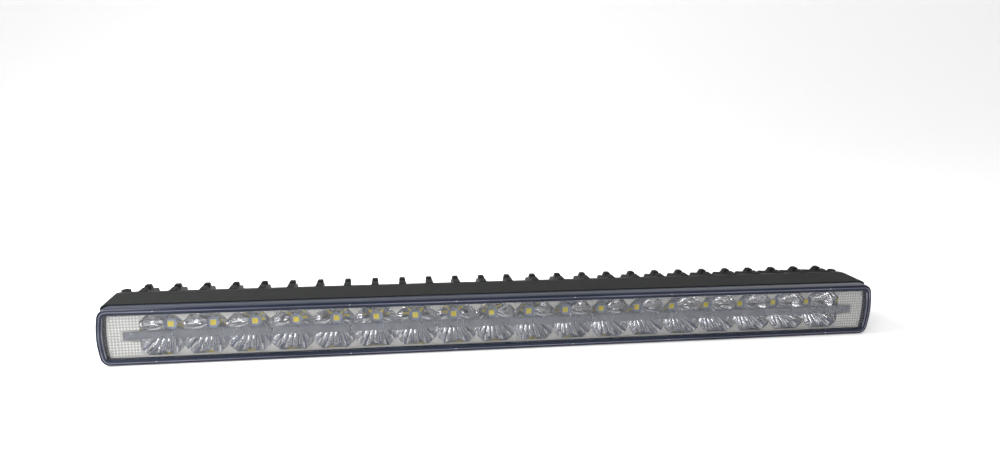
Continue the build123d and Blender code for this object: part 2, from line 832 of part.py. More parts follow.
with BuildPart() as gland_nut:
    with BuildSketch(front_plane(gland_nut_front_depth)):
        RegularPolygon(gland_hex_radius, 6)
    extrude(amount=gland_nut_front_depth - gland_nut_end_depth + gland_dome)
    with BuildSketch(front_plane(gland_nut_end_depth - gland_dome)):
        Circle(gland_hex_radius * math.cos(math.pi / 6))
    extrude(amount=-gland_dome)
    fillet(gland_nut.faces().sort_by(Axis.Y)[-1].edges(), gland_dome_round)
    with BuildSketch(front_plane(gland_nut_front_depth)):
        Circle(gland_thread_radius + slip)
    extrude(amount=gland_nut_front_depth - gland_neck_end_depth - gland_bush_proud, mode=Mode.SUBTRACT)
    with BuildSketch(front_plane(gland_nut_front_depth)):
        Circle(gland_nut_bore_radius)
    extrude(amount=gland_nut_front_depth - gland_nut_end_depth, mode=Mode.SUBTRACT)
gland_nut.part.label = "gland_nut"
export_step(gland_nut.part, "parts/gland_nut.step")

# ----------------------------------------------------------------------------
# Breather vent: snap-in plug with a membrane, between two fins.
# ----------------------------------------------------------------------------
vent_ring_thickness = 0.6
vent_cap_depth = wall_back_depth + vent_ring_thickness
vent_cap_height = 3.2
vent_cap_back = vent_cap_depth + vent_cap_height
vent_cap_radius = 4.6
vent_cap_round = 0.8
vent_bore_radius = 1.2
vent_chamber_radius = 3.2
vent_chamber_height = 1.0
vent_chamber_floor = 0.8
vent_chamber_depth = vent_cap_depth + vent_chamber_floor
vent_slot_width = 1.2
vent_ring_margin = 0.4
membrane_radius = 3.15
membrane_thickness = 0.2

with BuildPart() as breather_vent:
    with BuildSketch(front_plane(pocket_back_depth)):
        with Locations((vent_x, 0)):
            Circle(vent_stem_radius)
    extrude(amount=pocket_back_depth - vent_cap_depth)
    with BuildSketch(front_plane(vent_cap_depth)):
        with Locations((vent_x, 0)):
            Circle(vent_cap_radius)
    extrude(amount=vent_cap_depth - vent_cap_back)
    fillet(breather_vent.faces().sort_by(Axis.Y)[-1].edges(), vent_cap_round)
    with BuildSketch(front_plane(pocket_back_depth)):
        with Locations((vent_x, 0)):
            Circle(vent_bore_radius)
    extrude(amount=pocket_back_depth - vent_chamber_depth, mode=Mode.SUBTRACT)
    with BuildSketch(front_plane(vent_chamber_depth)):
        with Locations((vent_x, 0)):
            Circle(vent_chamber_radius)
    extrude(amount=-vent_chamber_height, mode=Mode.SUBTRACT)
    with BuildSketch(front_plane(vent_chamber_depth)):
        with Locations((vent_x, 0)):
            Rectangle(vent_slot_width, 2 * (vent_cap_radius + overrun))
    extrude(amount=-vent_chamber_height, mode=Mode.SUBTRACT)
breather_vent.part.label = "breather_vent"
export_step(breather_vent.part, "parts/breather_vent.step")

with BuildPart() as breather_ring:
    with BuildSketch(front_plane(wall_back_depth)):
        with Locations((vent_x, 0)):
            Circle(vent_cap_radius - vent_ring_margin)
            Circle(vent_stem_radius + slip, mode=Mode.SUBTRACT)
    extrude(amount=-vent_ring_thickness)
breather_ring.part.label = "breather_ring"
export_step(breather_ring.part, "parts/breather_ring.step")

with BuildPart() as breather_membrane:
    with BuildSketch(front_plane(vent_chamber_depth)):
        with Locations((vent_x, 0)):
            Circle(membrane_radius)
    extrude(amount=-membrane_thickness)
breather_membrane.part.label = "breather_membrane"
export_step(breather_membrane.part, "parts/breather_membrane.step")

# ----------------------------------------------------------------------------
# Threaded inserts in the end faces, for side brackets.
# ----------------------------------------------------------------------------
insert_groove_depth = 0.5
insert_groove_width = 1.2
insert_groove_starts = (3.0, 6.0)

for side, hand in zip(sides, ("left", "right")):
    end_plane = Plane(
        origin=(side * end_pad_x, bezel_y + insert_depth, mid_z), x_dir=(0, 1, 0), z_dir=(side, 0, 0)
    )
    with BuildPart() as mount_insert:
        with BuildSketch(end_plane):
            Circle(insert_radius)
            Circle(insert_hole_radius, mode=Mode.SUBTRACT)
        extrude(amount=-insert_length)
        for groove_start in insert_groove_starts:
            with BuildSketch(end_plane.offset(-groove_start)):
                Circle(insert_radius)
                Circle(insert_radius - insert_groove_depth, mode=Mode.SUBTRACT)
            extrude(amount=-insert_groove_width, mode=Mode.SUBTRACT)
    mount_insert.part.label = f"mount_insert_{hand}"
    export_step(mount_insert.part, f"parts/mount_insert_{hand}.step")
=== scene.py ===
import json
import math
import bmesh
import bpy
from mathutils import Euler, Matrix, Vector


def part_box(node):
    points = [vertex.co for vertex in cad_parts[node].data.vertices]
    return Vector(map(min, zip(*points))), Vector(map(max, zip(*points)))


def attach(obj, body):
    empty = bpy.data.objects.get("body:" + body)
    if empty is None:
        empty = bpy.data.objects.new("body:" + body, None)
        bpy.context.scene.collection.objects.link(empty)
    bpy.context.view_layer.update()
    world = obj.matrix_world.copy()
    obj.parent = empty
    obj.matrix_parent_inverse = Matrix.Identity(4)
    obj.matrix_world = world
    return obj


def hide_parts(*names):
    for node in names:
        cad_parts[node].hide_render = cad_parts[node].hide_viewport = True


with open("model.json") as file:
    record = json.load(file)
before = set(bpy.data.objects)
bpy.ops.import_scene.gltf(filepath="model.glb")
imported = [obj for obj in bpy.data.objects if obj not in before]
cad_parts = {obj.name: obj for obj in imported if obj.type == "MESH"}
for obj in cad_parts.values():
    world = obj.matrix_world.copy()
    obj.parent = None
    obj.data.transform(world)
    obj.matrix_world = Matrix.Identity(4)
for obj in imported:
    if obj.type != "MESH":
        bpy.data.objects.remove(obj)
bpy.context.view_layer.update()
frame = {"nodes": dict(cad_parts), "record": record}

nodes = frame["nodes"]
scene = bpy.context.scene
MM = 0.001

# ----------------------------------------------------------------------------
# Places read from the frame. The lens faces -Y, Z is up.
# "Depth" runs rearwards from the front face of the reflectors.
# "Rise" runs up from the bar's mid plane.
# ----------------------------------------------------------------------------
lens_lo, lens_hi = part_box("lens")
reflector_lo, reflector_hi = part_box("reflector_left")
strip_lo, strip_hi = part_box("position_light_guide")
phosphor_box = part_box("led_phosphors")
led_names = sorted(n for n in nodes if n.startswith("led_") and n[4:].isdigit())
led_boxes = [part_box(n) for n in led_names]
led_xs = [(lo.x + hi.x) / 2 for lo, hi in led_boxes]
led_pitch = led_xs[1] - led_xs[0]
mid_z = (lens_lo.z + lens_hi.z) / 2
bezel_y = reflector_lo.y
lens_half_length = lens_hi.x
lens_half_height = (lens_hi.z - lens_lo.z) / 2
bezel_half_length = -reflector_lo.x
bezel_half_height = (reflector_hi.z - reflector_lo.z) / 2
led_depth = phosphor_box[0].y - bezel_y


def at(x, depth, rise):
    """Point in the frame from a distance along the bar, a depth and a rise."""
    return Vector((x, bezel_y + depth, mid_z + rise))


# ----------------------------------------------------------------------------
# Materials
# ----------------------------------------------------------------------------
ramp_start = 0.3
ramp_end = 0.7
grain_start = 0.35
grain_end = 0.65


def new_material(name):
    material = bpy.data.materials.new(name)
    material.use_nodes = True
    tree = material.node_tree
    return material, tree, tree.nodes["Principled BSDF"]


def set_values(shader, **values):
    for key, value in values.items():
        shader.inputs[key.replace("_", " ")].default_value = value


def noise(tree, scale, detail=3.0, roughness=0.5, stretch=(1.0, 1.0, 1.0)):
    """Noise in the object's own coordinates, stretched along its axes."""
    place = tree.nodes.new("ShaderNodeTexCoord")
    mapping = tree.nodes.new("ShaderNodeMapping")
    mapping.inputs["Scale"].default_value = stretch
    texture = tree.nodes.new("ShaderNodeTexNoise")
    texture.inputs["Scale"].default_value = scale
    texture.inputs["Detail"].default_value = detail
    texture.inputs["Roughness"].default_value = roughness
    tree.links.new(place.outputs["Object"], mapping.inputs["Vector"])
    tree.links.new(mapping.outputs["Vector"], texture.inputs["Vector"])
    return texture.outputs["Fac"]


def ramp(tree, value, *stops):
    """Colour ramp over value, from (position, colour) stops."""
    node = tree.nodes.new("ShaderNodeValToRGB")
    elements = node.color_ramp.elements
    while len(elements) < len(stops):
        elements.new(0.5)
    for element, (position, colour) in zip(elements, stops):
        element.position = position
        element.color = (*colour, 1.0)
    tree.links.new(value, node.inputs["Fac"])
    return node.outputs["Color"]


def two_tone(tree, value, dark, light, start=ramp_start, end=ramp_end):
    """Colour that goes from dark to light while value goes from start to end."""
    return ramp(tree, value, (start, dark), (end, light))


def ranged(tree, value, low, high):
    """Value that goes from low to high while the noise goes through its middle range."""
    node = tree.nodes.new("ShaderNodeMapRange")
    node.inputs["From Min"].default_value = ramp_start
    node.inputs["From Max"].default_value = ramp_end
    node.inputs["To Min"].default_value = low
    node.inputs["To Max"].default_value = high
    tree.links.new(value, node.inputs["Value"])
    return node.outputs["Result"]


def add_bump(tree, shader, height, strength, distance):
    """Fine relief on the shader, its depth in metres."""
    node = tree.nodes.new("ShaderNodeBump")
    node.inputs["Strength"].default_value = strength
    node.inputs["Distance"].default_value = distance
    tree.links.new(height, node.inputs["Height"])
    tree.links.new(node.outputs["Normal"], shader.inputs["Normal"])


def grained(name, dark, light, scale, rough, bump=(0.0, 0.0), **values):
    """Material whose colour, roughness and surface vary with one noise."""
    material, tree, shader = new_material(name)
    set_values(shader, **values)
    grain = noise(tree, scale)
    colour = two_tone(tree, grain, dark, light, grain_start, grain_end)
    tree.links.new(colour, shader.inputs["Base Color"])
    tree.links.new(ranged(tree, grain, *rough), shader.inputs["Roughness"])
    if bump[0] > 0:
        add_bump(tree, shader, grain, *bump)
    return material


def powder_coat():
    """Fine-grained black powder coat: grain for light, cloudier tone for colour."""
    material, tree, shader = new_material("black_powder_coat")
    set_values(shader, IOR=1.08)
    cloud = noise(tree, 30.0, detail=4.0)
    grain = noise(tree, 2600.0, detail=2.0)
    colour = two_tone(tree, cloud, (0.012, 0.013, 0.012), (0.018, 0.019, 0.018))
    tree.links.new(colour, shader.inputs["Base Color"])
    tree.links.new(ranged(tree, cloud, 0.42, 0.54), shader.inputs["Roughness"])
    add_bump(tree, shader, grain, strength=0.35, distance=0.08 * MM)
    return material


mirror_lift = 1.05
mirror_rough_span = (0.6, 1.5)


def mirror(name, colour, rough):
    """Vacuum-metallised plastic with faint streaks and haze."""
    material, tree, shader = new_material(name)
    set_values(shader, Metallic=1.0)
    haze = noise(tree, 420.0, detail=4.0, stretch=(1.0, 0.4, 1.0))
    light = tuple(min(1.0, c * mirror_lift) for c in colour)
    tree.links.new(two_tone(tree, haze, colour, light), shader.inputs["Base Color"])
    least, most = (rough * factor for factor in mirror_rough_span)
    tree.links.new(ranged(tree, haze, least, most), shader.inputs["Roughness"])
    return material


def bezel_finish(name, dark, light):
    """Satin metallised finish of the bezel's flat parts or of its dots; the dots get a lighter tone, a
    painted highlight.
    """
    material, tree, shader = new_material(name)
    set_values(shader, Metallic=0.35, IOR=1.45)
    grain = noise(tree, 900.0, detail=3.0)
    colour = two_tone(tree, grain, dark, light)
    tree.links.new(colour, shader.inputs["Base Color"])
    tree.links.new(ranged(tree, grain, 0.42, 0.56), shader.inputs["Roughness"])
    add_bump(tree, shader, grain, strength=0.15, distance=0.03 * MM)
    return material


def window_plastic():
    """Clear polycarbonate that lets lamps reach what is behind it."""
    material, tree, shader = new_material("clear_polycarbonate")
    set_values(shader, Transmission_Weight=1.0, IOR=1.35, Roughness=0.0)
    set_values(shader, Base_Color=(0.985, 0.99, 1.0, 1.0))
    output = tree.nodes["Material Output"]
    see_through = tree.nodes.new("ShaderNodeBsdfTransparent")
    rays = tree.nodes.new("ShaderNodeLightPath")
    mix = tree.nodes.new("ShaderNodeMixShader")
    tree.links.new(rays.outputs["Is Shadow Ray"], mix.inputs["Fac"])
    tree.links.new(shader.outputs["BSDF"], mix.inputs[1])
    tree.links.new(see_through.outputs["BSDF"], mix.inputs[2])
    tree.links.new(mix.outputs["Shader"], output.inputs["Surface"])
    ripple = noise(tree, 12.0, detail=2.0)
    add_bump(tree, shader, ripple, strength=0.03, distance=0.2 * MM)
    return material


def rim_plastic(name, dark, light):
    """Glossy plastic of the lens's thick rim, its tone in streaks along the bar."""
    material, tree, shader = new_material(name)
    set_values(shader, IOR=1.27)
    streak = noise(tree, 9.0, detail=5.0, roughness=0.6, stretch=(1.0, 14.0, 14.0))
    colour = two_tone(tree, streak, dark, light)
    tree.links.new(colour, shader.inputs["Base Color"])
    tree.links.new(ranged(tree, streak, 0.04, 0.16), shader.inputs["Roughness"])
    wave = noise(tree, 26.0, detail=3.0, stretch=(1.0, 3.0, 3.0))
    add_bump(tree, shader, wave, strength=0.25, distance=0.4 * MM)
    return material


def light_guide():
    """Translucent light-guide plastic: what is behind shows through, over a dark grey tone that is
    painted shade of the dark slot behind it.
    """
    material, tree, shader = new_material("frosted_light_guide")
    set_values(shader, Alpha=0.72, IOR=1.4, Specular_IOR_Level=0.25)
    streak = noise(tree, 260.0, detail=3.0, stretch=(1.0, 0.2, 0.2))
    # Dark grey tones: painted shade of the dark slot behind the strip.
    colour = two_tone(tree, streak, (0.075, 0.08, 0.10), (0.13, 0.135, 0.16))
    tree.links.new(colour, shader.inputs["Base Color"])
    tree.links.new(ranged(tree, streak, 0.12, 0.3), shader.inputs["Roughness"])
    return material


def phosphor():
    """Matt yellow silicone of the LEDs' tiles."""
    material, tree, shader = new_material("yellow_phosphor")
    set_values(shader, IOR=1.45)
    grain = noise(tree, 1500.0, detail=3.0)
    colour = two_tone(tree, grain, (0.66, 0.50, 0.006), (0.80, 0.66, 0.012))
    tree.links.new(colour, shader.inputs["Base Color"])
    tree.links.new(ranged(tree, grain, 0.35, 0.55), shader.inputs["Roughness"])
    add_bump(tree, shader, grain, strength=0.2, distance=0.03 * MM)
    return material


# Each grained finish: name, dark and light tone, grain scale, range of roughness, and any relief
# as its strength and depth.
finishes = {
    "black_powder_coat": powder_coat(),
    "clear_polycarbonate": window_plastic(),
    "metallised_plastic": mirror("metallised_cells", (0.60, 0.60, 0.61), 0.09),
    "frosted_light_guide": light_guide(),
    "yellow_phosphor": phosphor(),
    "black_silicone": grained(
        "black_silicone", (0.010, 0.010, 0.011), (0.022, 0.022, 0.024), 600.0, (0.55, 0.75),
        (0.2, 0.05 * MM),
    ),
    "led_package": grained("led_package", (0.42, 0.45, 0.52), (0.50, 0.53, 0.60), 900.0, (0.35, 0.5)),
    # The board's blue-grey tone is painted shade: the white mask as it looks shaded deep inside the
    # cells.
    "white_solder_mask": grained(
        "white_solder_mask", (0.225, 0.265, 0.375), (0.27, 0.31, 0.42), 500.0, (0.3, 0.42),
        (0.1, 0.02 * MM),
    ),
    "thermal_pad": grained("thermal_pad", (0.15, 0.16, 0.18), (0.22, 0.23, 0.25), 800.0, (0.8, 0.95)),
    "zinc_steel": grained(
        "zinc_steel", (0.50, 0.51, 0.52), (0.64, 0.65, 0.66), 700.0, (0.22, 0.4), Metallic=1.0
    ),
    "insulating_film": grained(
        "insulating_film", (0.45, 0.28, 0.05), (0.55, 0.36, 0.08), 200.0, (0.15, 0.3)
    ),
    "green_solder_mask": grained(
        "green_solder_mask", (0.008, 0.09, 0.035), (0.015, 0.14, 0.055), 260.0, (0.2, 0.35),
        (0.1, 0.03 * MM),
    ),
    "ferrite": grained("ferrite", (0.010, 0.010, 0.011), (0.030, 0.030, 0.032), 900.0, (0.5, 0.7)),
    "capacitor_can": grained(
        "capacitor_can", (0.62, 0.62, 0.63), (0.74, 0.74, 0.75), 500.0, (0.2, 0.34), Metallic=1.0
    ),
    "chip_epoxy": grained("chip_epoxy", (0.006, 0.006, 0.006), (0.014, 0.014, 0.014), 900.0, (0.45, 0.6)),
    "terminal_plastic": grained(
        "terminal_plastic", (0.010, 0.16, 0.035), (0.020, 0.22, 0.050), 400.0, (0.3, 0.45)
    ),
    "brass_pin": grained(
        "brass_pin", (0.62, 0.48, 0.16), (0.72, 0.58, 0.24), 700.0, (0.2, 0.35), Metallic=1.0
    ),
    "black_nylon": grained(
        "black_nylon", (0.010, 0.010, 0.011), (0.024, 0.024, 0.026), 700.0, (0.4, 0.6), (0.2, 0.05 * MM)
    ),
    "white_membrane": grained(
        "white_membrane", (0.70, 0.70, 0.68), (0.86, 0.86, 0.84), 2400.0, (0.8, 0.95), (0.4, 0.05 * MM)
    ),
    "stainless_steel": grained(
        "stainless_steel", (0.46, 0.46, 0.45), (0.60, 0.60, 0.59), 300.0, (0.2, 0.38), Metallic=1.0
    ),
}
bezel_material = bezel_finish("metallised_bezel", (0.24, 0.238, 0.225), (0.28, 0.277, 0.262))
# The dots' lighter tone is a painted highlight: same metallised coat as the bezel, lighter for the light
# their domes catch.
dot_highlight_material = bezel_finish("metallised_dots_painted_highlight", (0.46, 0.455, 0.435), (0.55, 0.545, 0.52))
# Top facets of each cell: satin roughness, with a painted reflection in their blue-grey tone in place of
# what the mirror would show.
top_facet_reflection_material = grained(
    "top_facets_painted_reflection", (0.17, 0.20, 0.28), (0.23, 0.26, 0.35), 420.0, (0.22, 0.36), Metallic=0.45
)
rim_material = rim_plastic("lens_rim", (0.007, 0.010, 0.020), (0.016, 0.023, 0.042))
lug_material = rim_plastic("lens_lug", (0.45, 0.45, 0.50), (0.62, 0.62, 0.66))
# Lighter lines on the lens rim: a painted highlight, standing for light caught along the groove and the
# inner edge.
rim_highlight_material = rim_plastic("lens_rim_painted_highlight", (0.05, 0.055, 0.08), (0.22, 0.21, 0.27))

slot_of = {part["node"]: part["material_slot"] for part in frame["record"]["subparts"]}
for node_name, node in nodes.items():
    node.data.materials.clear()
    node.data.materials.append(finishes[slot_of[node_name]])


# ----------------------------------------------------------------------------
# Mesh helpers
# ----------------------------------------------------------------------------
# Faces with more corners than this are shaded flat, such as the window.
largest_smooth_face = 8


def make_piece(name, mesh_data, materials, replaced, smooth_angle=None):
    """Turns a bmesh into a piece of the object that rides on the root body."""
    mesh = bpy.data.meshes.new(name)
    bmesh.ops.recalc_face_normals(mesh_data, faces=mesh_data.faces)
    mesh_data.to_mesh(mesh)
    mesh_data.free()
    for material in materials:
        mesh.materials.append(material)
    if smooth_angle is not None:
        mesh.shade_smooth()
        mesh.set_sharp_from_angle(angle=math.radians(smooth_angle))
        for polygon in mesh.polygons:
            polygon.use_smooth = len(polygon.vertices) <= largest_smooth_face
    piece = bpy.data.objects.new(name, mesh)
    scene.collection.objects.link(piece)
    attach(piece, "root")
    if replaced:
        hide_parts(*replaced)
    return piece


def bowed_outline(half_length, half_rise, arc_radius, corner, steps):
    """Loop of (x, rise) points: long flat sides, ends bowed out, corners rounded."""
    centre_x = half_length - arc_radius
    corner_rise = half_rise - corner
    corner_x = centre_x + math.sqrt((arc_radius - corner) ** 2 - corner_rise**2)
    turn = math.atan2(corner_rise, corner_x - centre_x)
    quarter = []
    for i in range(steps + 1):
        angle = turn * i / steps
        quarter.append((centre_x + arc_radius * math.cos(angle), arc_radius * math.sin(angle)))
    for i in range(1, steps + 1):
        angle = turn + (math.pi / 2 - turn) * i / steps
        quarter.append((corner_x + corner * math.cos(angle), corner_rise + corner * math.sin(angle)))
    right = [(x, -z) for x, z in reversed(quarter[1:])] + quarter
    left = [(-x, -z) for x, z in right]
    return right + left


def end_radius(bow, half_rise):
    """Radius of the arc that bows out by bow over twice half_rise."""
    return (half_rise**2 + bow**2) / (2 * bow)


def skin_loops(mesh_data, loops):
    """Faces between loops of points that each have the same count."""
    rings = [[mesh_data.verts.new(point) for point in loop] for loop in loops]
    for first, second in zip(rings, rings[1:]):
        count = len(first)
        for i in range(count):
            j = (i + 1) % count
            mesh_data.faces.new((first[i], first[j], second[j], second[i]))
    return rings


# ----------------------------------------------------------------------------
# Lens: stepped dark rim round a clear window, one closed shell.
# ----------------------------------------------------------------------------
lens_bow = 2.4 * MM
lens_corner = 5.5 * MM
outline_steps = 10
least_corner = 0.6 * MM
lens_arc = end_radius(lens_bow, lens_half_height)

# Section of the rim from the skirt's rear edge over the front to the window: (inset, depth) in mm.
rim_section = [
    (0.00, 4.9), (0.00, 3.7), (0.28, 3.45), (0.28, 3.15), (0.00, 2.9), (0.00, -2.5), (0.10, -2.95),
    (0.32, -3.28), (0.70, -3.5), (1.35, -3.5), (1.45, -3.32), (1.60, -3.22), (1.80, -3.22), (1.95, -3.32),
    (2.05, -3.5), (3.30, -3.5), (3.46, -3.42), (3.62, -3.24), (3.70, -3.12),
]
# Where the rim's painted highlight goes: the groove's insets, and the inner edge at both ends, in mm.
highlight_insets = (1.38, 2.02)
end_highlight_inset = 3.3
end_highlight_x = 243.4
window_slot = 1
highlight_slot = 2
window_inset = 3.8
window_front = -3.1
rim_back_section = [(3.3, -1.3), (3.3, 4.9)]


def lens_loop(inset, depth):
    """Loop of the lens outline moved inwards by inset, at a depth."""
    loop = bowed_outline(
        lens_half_length - inset,
        lens_half_height - inset,
        lens_arc - inset,
        max(lens_corner - inset, least_corner),
        outline_steps,
    )
    return [at(x, depth, z) for x, z in loop]


def paint_rim_highlights(mesh_data, section):
    """Gives the groove round the rim, and the inner edge at both ends, a lighter finish that is a painted
    highlight.
    """
    steps = len(section) - 1
    per_ring = len(mesh_data.faces) // steps
    for step in range(steps):
        inset = (section[step][0] + section[step + 1][0]) / 2
        in_groove = highlight_insets[0] < inset < highlight_insets[1] and section[step][1] < 0
        at_edge = inset > end_highlight_inset
        for face in list(mesh_data.faces)[step * per_ring:(step + 1) * per_ring]:
            at_end = abs(face.calc_center_median().x) > end_highlight_x * MM
            if in_groove or (at_edge and at_end):
                face.material_index = highlight_slot


def make_lens():
    """Cover of one closed shell: rim and window outside, their inner faces behind."""
    mesh_data = bmesh.new()
    front = rim_section + [(window_inset, window_front)]
    loops = [lens_loop(inset * MM, depth * MM) for inset, depth in front]
    rings = skin_loops(mesh_data, loops)
    paint_rim_highlights(mesh_data, front)
    window = mesh_data.faces.new(rings[-1])
    window.material_index = window_slot
    back = [lens_loop(inset * MM, depth * MM) for inset, depth in rim_back_section]
    back_rings = skin_loops(mesh_data, back)
    inner_window = mesh_data.faces.new(back_rings[0])
    inner_window.material_index = window_slot
    count = len(rings[0])
    for i in range(count):
        j = (i + 1) % count
        mesh_data.faces.new((rings[0][i], rings[0][j], back_rings[1][j], back_rings[1][i]))
    return make_piece(
        "lens_cover", mesh_data, [rim_material, finishes["clear_polycarbonate"], rim_highlight_material],
        ["lens"], smooth_angle=40,
    )


make_lens()

# Small round lugs in the rim's groove, above and below the window, in mm.
lug_xs = (38.0, 103.0, 216.0)
lug_inset = 1.7
lug_radius = 0.42
lug_steps = 10
lug_levels = [(1.0, -3.20), (0.85, -3.36), (0.5, -3.46)]


def make_lugs():
    """All the lugs in one piece."""
    mesh_data = bmesh.new()
    rise = lens_half_height - lug_inset * MM
    for x in [side * lug_x for side in (-1, 1) for lug_x in lug_xs]:
        for direction in (-1, 1):
            loops = []
            for spread, depth in lug_levels:
                reach = lug_radius * spread * MM
                turns = [2 * math.pi * i / lug_steps for i in range(lug_steps)]
                loops.append([
                    at(x * MM + reach * math.cos(a), depth * MM, direction * rise + reach * math.sin(a))
                    for a in turns
                ])
            rings = skin_loops(mesh_data, loops)
            mesh_data.faces.new(rings[-1])
            mesh_data.faces.new(list(reversed(rings[0])))
    return make_piece("lens_lugs", mesh_data, [lug_material], [], smooth_angle=50)


make_lugs()

# ----------------------------------------------------------------------------
# Reflector modules: faceted cells, bezel with a fine raised dot grain.
# They are built in millimetres as (x, rise, depth) and moved into the frame at the end.
# ----------------------------------------------------------------------------
mirror_slot = 0
bezel_slot = 1
# Slot of the dots, whose lighter finish is a painted highlight.
dot_highlight_slot = 2
# Slot of the top facets' painted reflection.
painted_reflection_slot = 3
cell_mouth_radius = 14.7
cell_base_radius = 4.05
cell_base_depth = 18.0
cell_half_height = 12.5
cell_end_x = 224.6
seam_x = 0.05
cell_curve = (cell_mouth_radius**2 - cell_base_radius**2) / cell_base_depth

# Facet edges as angles from straight up, in degrees, on one side of the cell.
upper_edges = [0, 31, 60, 90]
lower_edges = [90, 110, 128, 146, 163, 180]
upper_ring_depths = [0.0, 2.4, 5.5, 10.0, 18.0]
lower_ring_depths = [0.0, 6.0, 18.0]
# Facets up to this angle from straight up carry the painted reflection.
top_facet_edge = 31
facet_columns = 6
facet_rows = 4
# Tilt and bulge of a facet, in mm. The bulge is that of a ring of full_ring_depth, and shallower
# rings have less. Along the depth a facet bulges by depth_bulge_share of it.
top_facet_tilt = 0.1
top_facet_pillow = 0.04
upper_tilt = 0.7
upper_pillow = 0.10
lower_tilt = 0.0
lower_pillow = 0.30
full_ring_depth = 8
depth_bulge_share = 0.5
least_radius_squared = 0.01


def cell_radius(depth):
    """Radius of the parabola at a depth, in millimetres."""
    return math.sqrt(max(cell_mouth_radius**2 - cell_curve * depth, least_radius_squared))


def facet_points(start, end, front, back, tilt, pillow):
    """Grid of (x, rise, depth) points of one facet, in millimetres."""
    middle = math.radians((start + end) / 2)
    half = math.radians((end - start) / 2)
    rows = []
    for r in range(facet_rows + 1):
        v = r / facet_rows
        depth = front + (back - front) * v
        reach = cell_radius(depth) * math.cos(half)
        reach += tilt * (v - 0.5) - pillow * 4 * v * (1 - v) * depth_bulge_share
        row = []
        for c in range(facet_columns + 1):
            u = 2 * c / facet_columns - 1
            side = reach * math.tan(half) * u
            out = reach - pillow * (1 - u * u)
            x = out * math.sin(middle) + side * math.cos(middle)
            z = out * math.cos(middle) - side * math.sin(middle)
            row.append((x, z, depth))
        rows.append(row)
    return rows


def add_grid(mesh_data, rows, material_index=0):
    """Faces between rows of points that each have the same count."""
    made = [[mesh_data.verts.new(point) for point in row] for row in rows]
    for upper, lower in zip(made, made[1:]):
        for c in range(len(upper) - 1):
            face = mesh_data.faces.new((upper[c], upper[c + 1], lower[c + 1], lower[c]))
            face.material_index = material_index
    return made


def facet_plan():
    """Facets of half a cell: (start, end, ring depths, tilt, pillow, material slot)."""
    plan = []
    for start, end in zip(upper_edges, upper_edges[1:]):
        if end <= top_facet_edge:
            plan.append((start, end, upper_ring_depths, top_facet_tilt, top_facet_pillow, painted_reflection_slot))
        else:
            plan.append((start, end, upper_ring_depths, upper_tilt, upper_pillow, mirror_slot))
    for start, end in zip(lower_edges, lower_edges[1:]):
        plan.append((start, end, lower_ring_depths, lower_tilt, lower_pillow, mirror_slot))
    return plan


def make_cell():
    """One cell about its own axis, as a bmesh."""
    cell = bmesh.new()
    for start, end, depths, tilt, pillow, material_slot in facet_plan():
        for ring, (front, back) in enumerate(zip(depths, depths[1:])):
            sway = tilt if ring % 2 else -tilt
            bulge = pillow * (back - front) / full_ring_depth
            for flip in (1, -1):
                rows = facet_points(start, end, front, back, sway, bulge)
                rows = [[(flip * x, z, depth) for x, z, depth in row] for row in rows]
                add_grid(cell, rows, material_slot)
    return cell


cell_mesh = make_cell()
cell_data = bpy.data.meshes.new("cell_pattern")
cell_mesh.to_mesh(cell_data)
cell_mesh.free()


cut_reach = 1e-5
weld_reach = 1e-4
near = 1e-3


def clip(mesh_data, point, normal):
    """Cuts away what lies past a plane."""
    geometry = mesh_data.verts[:] + mesh_data.edges[:] + mesh_data.faces[:]
    bmesh.ops.bisect_plane(
        mesh_data, geom=geometry, dist=cut_reach, plane_co=point, plane_no=normal, clear_outer=True
    )


dot_pitch = 1.78
dot_radius = 0.52
dot_height = 0.22
dot_steps = 8
dot_margin = 0.9
dot_levels = [(1.0, 0.0), (0.8, 0.55), (0.42, 0.9)]
bezel_bow = 1.2
bezel_lip_depth = 4.8
slot_half_height = 2.5
slot_end_x = 233.95
slot_floor_depth = 2.55
end_step_rises = [-11.0, -8.0, -5.0]
bezel_length_mm = bezel_half_length / MM
bezel_height_mm = bezel_half_height / MM
bezel_arc = end_radius(bezel_bow, bezel_height_mm)


def bezel_end_x(rise):
    """Half length of the bezel at a rise, in millimetres."""
    return bezel_length_mm - bezel_arc + math.sqrt(bezel_arc**2 - rise**2)


def add_dot(mesh_data, x, rise):
    """Low round pip of the bezel's grain."""
    rings = []
    for spread, height in dot_levels:
        ring = []
        for i in range(dot_steps):
            angle = 2 * math.pi * i / dot_steps
            place = (
                x + dot_radius * spread * math.cos(angle),
                rise + dot_radius * spread * math.sin(angle),
                -dot_height * height,
            )
            ring.append(mesh_data.verts.new(place))
        rings.append(ring)
    for first, second in zip(rings, rings[1:]):
        for i in range(dot_steps):
            j = (i + 1) % dot_steps
            mesh_data.faces.new((first[i], first[j], second[j], second[i])).material_index = dot_highlight_slot
    mesh_data.faces.new(rings[-1]).material_index = dot_highlight_slot


def quad(mesh_data, corners):
    """Flat face of the bezel."""
    face = mesh_data.faces.new([mesh_data.verts.new(corner) for corner in corners])
    face.material_index = bezel_slot


